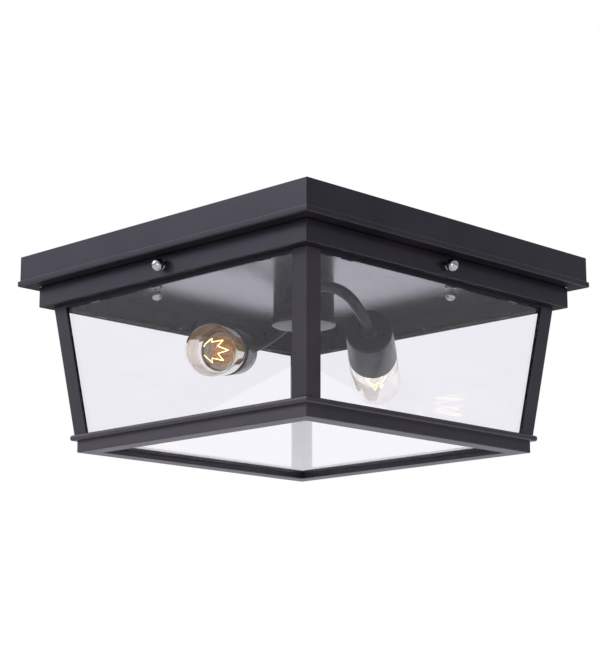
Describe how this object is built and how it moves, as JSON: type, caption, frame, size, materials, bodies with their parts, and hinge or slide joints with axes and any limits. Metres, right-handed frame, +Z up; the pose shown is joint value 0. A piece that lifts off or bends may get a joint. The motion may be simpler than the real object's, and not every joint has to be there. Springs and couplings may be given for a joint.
{
  "type": "porch ceiling lantern",
  "caption": "Square flush ceiling lantern with a glazed tapering cage held by thumbscrews under a deep square pan, and clear screw-base lamps on bent arms.",
  "frame": {"origin": "centre of the mounting strap's top face, in the ceiling plane", "axes": "+Z up, out of the pan into the ceiling; +X and +Y along the sides of the square; the strap lies on the diagonal between +X and +Y"},
  "size_m": [0.3586, 0.3586, 0.1749],
  "materials": {
    "dark_paint": "satin, nearly black with a bronze cast",
    "clear_glass": "clear and polished",
    "lamp_glass": "clear and blown",
    "brass": "bright",
    "porcelain": "glazed porcelain",
    "nickel": "polished nickel plate",
    "zinc": "zinc plated",
    "ground_green": "green",
    "lead_sleeve": "woven sleeve",
    "filament": "fine warm wire"
  },
  "bodies": {
    "canopy": {"mounting_strap": "zinc", "strap_studs": "zinc", "stud_nuts": "zinc", "ground_screw": "ground_green", "ceiling_pan": "dark_paint", "pan_collar": "dark_paint", "hub_body": "dark_paint", "hub_pipe": "zinc", "hub_pipe_nuts": "zinc", "hub_cap": "dark_paint", "arm_right": "dark_paint", "arm_ring_right": "dark_paint", "arm_nuts_right": "zinc", "socket_lead_right": "lead_sleeve", "socket_cup_right": "dark_paint", "socket_insulator_right": "porcelain", "screw_shell_right": "brass", "centre_contact_right": "brass", "arm_left": "dark_paint", "arm_ring_left": "dark_paint", "arm_nuts_left": "zinc", "socket_lead_left": "lead_sleeve", "socket_cup_left": "dark_paint", "socket_insulator_left": "porcelain", "screw_shell_left": "brass", "centre_contact_left": "brass"},
    "cage": {"top_ring": "dark_paint", "ring_weld_nuts": "zinc", "glass_clips": "dark_paint", "clip_screws": "dark_paint", "bottom_frame": "dark_paint", "bottom_glass": "clear_glass", "corner_post_near": "dark_paint", "corner_post_right": "dark_paint", "corner_post_far": "dark_paint", "corner_post_left": "dark_paint", "side_glass_east": "clear_glass", "side_glass_north": "clear_glass", "side_glass_west": "clear_glass", "side_glass_south": "clear_glass"},
    "lamp_right": {"lamp_base_right": "brass", "lamp_glass_right": "lamp_glass", "lamp_stem_right": "lamp_glass", "filament_right": "filament"},
    "lamp_left": {"lamp_base_left": "brass", "lamp_glass_left": "lamp_glass", "lamp_stem_left": "lamp_glass", "filament_left": "filament"},
    "ball_nut_right": {"ball_nut_right": "nickel"},
    "ball_nut_left": {"ball_nut_left": "nickel"},
    "thumbscrew_east": {"thumbscrew_east": "nickel"},
    "thumbscrew_north": {"thumbscrew_north": "nickel"},
    "thumbscrew_west": {"thumbscrew_west": "nickel"},
    "thumbscrew_south": {"thumbscrew_south": "nickel"}
  },
  "joints": [
    {"name": "cage_drop", "type": "slide", "parent": "canopy", "child": "cage", "axis": [0, 0, -1], "range_m": [0, 0.18]},
    {"name": "thumbscrew_east_travel", "type": "slide", "parent": "cage", "child": "thumbscrew_east", "axis": [1, 0, 0], "range_m": [0, 0.012]},
    {"name": "thumbscrew_north_travel", "type": "slide", "parent": "cage", "child": "thumbscrew_north", "axis": [0, 1, 0], "range_m": [0, 0.012]},
    {"name": "thumbscrew_west_travel", "type": "slide", "parent": "cage", "child": "thumbscrew_west", "axis": [-1, 0, 0], "range_m": [0, 0.012]},
    {"name": "thumbscrew_south_travel", "type": "slide", "parent": "cage", "child": "thumbscrew_south", "axis": [0, -1, 0], "range_m": [0, 0.012]},
    {"name": "ball_nut_right_travel", "type": "slide", "parent": "canopy", "child": "ball_nut_right", "axis": [0, 0, -1], "range_m": [0, 0.015]},
    {"name": "ball_nut_left_travel", "type": "slide", "parent": "canopy", "child": "ball_nut_left", "axis": [0, 0, -1], "range_m": [0, 0.015]},
    {"name": "lamp_right_travel", "type": "slide", "parent": "canopy", "child": "lamp_right", "axis": [-0.6264, 0.7599, -0.1736], "range_m": [0, 0.022]},
    {"name": "lamp_left_travel", "type": "slide", "parent": "canopy", "child": "lamp_left", "axis": [0.5917, -0.7853, -0.1822], "range_m": [0, 0.016]}
  ]
}
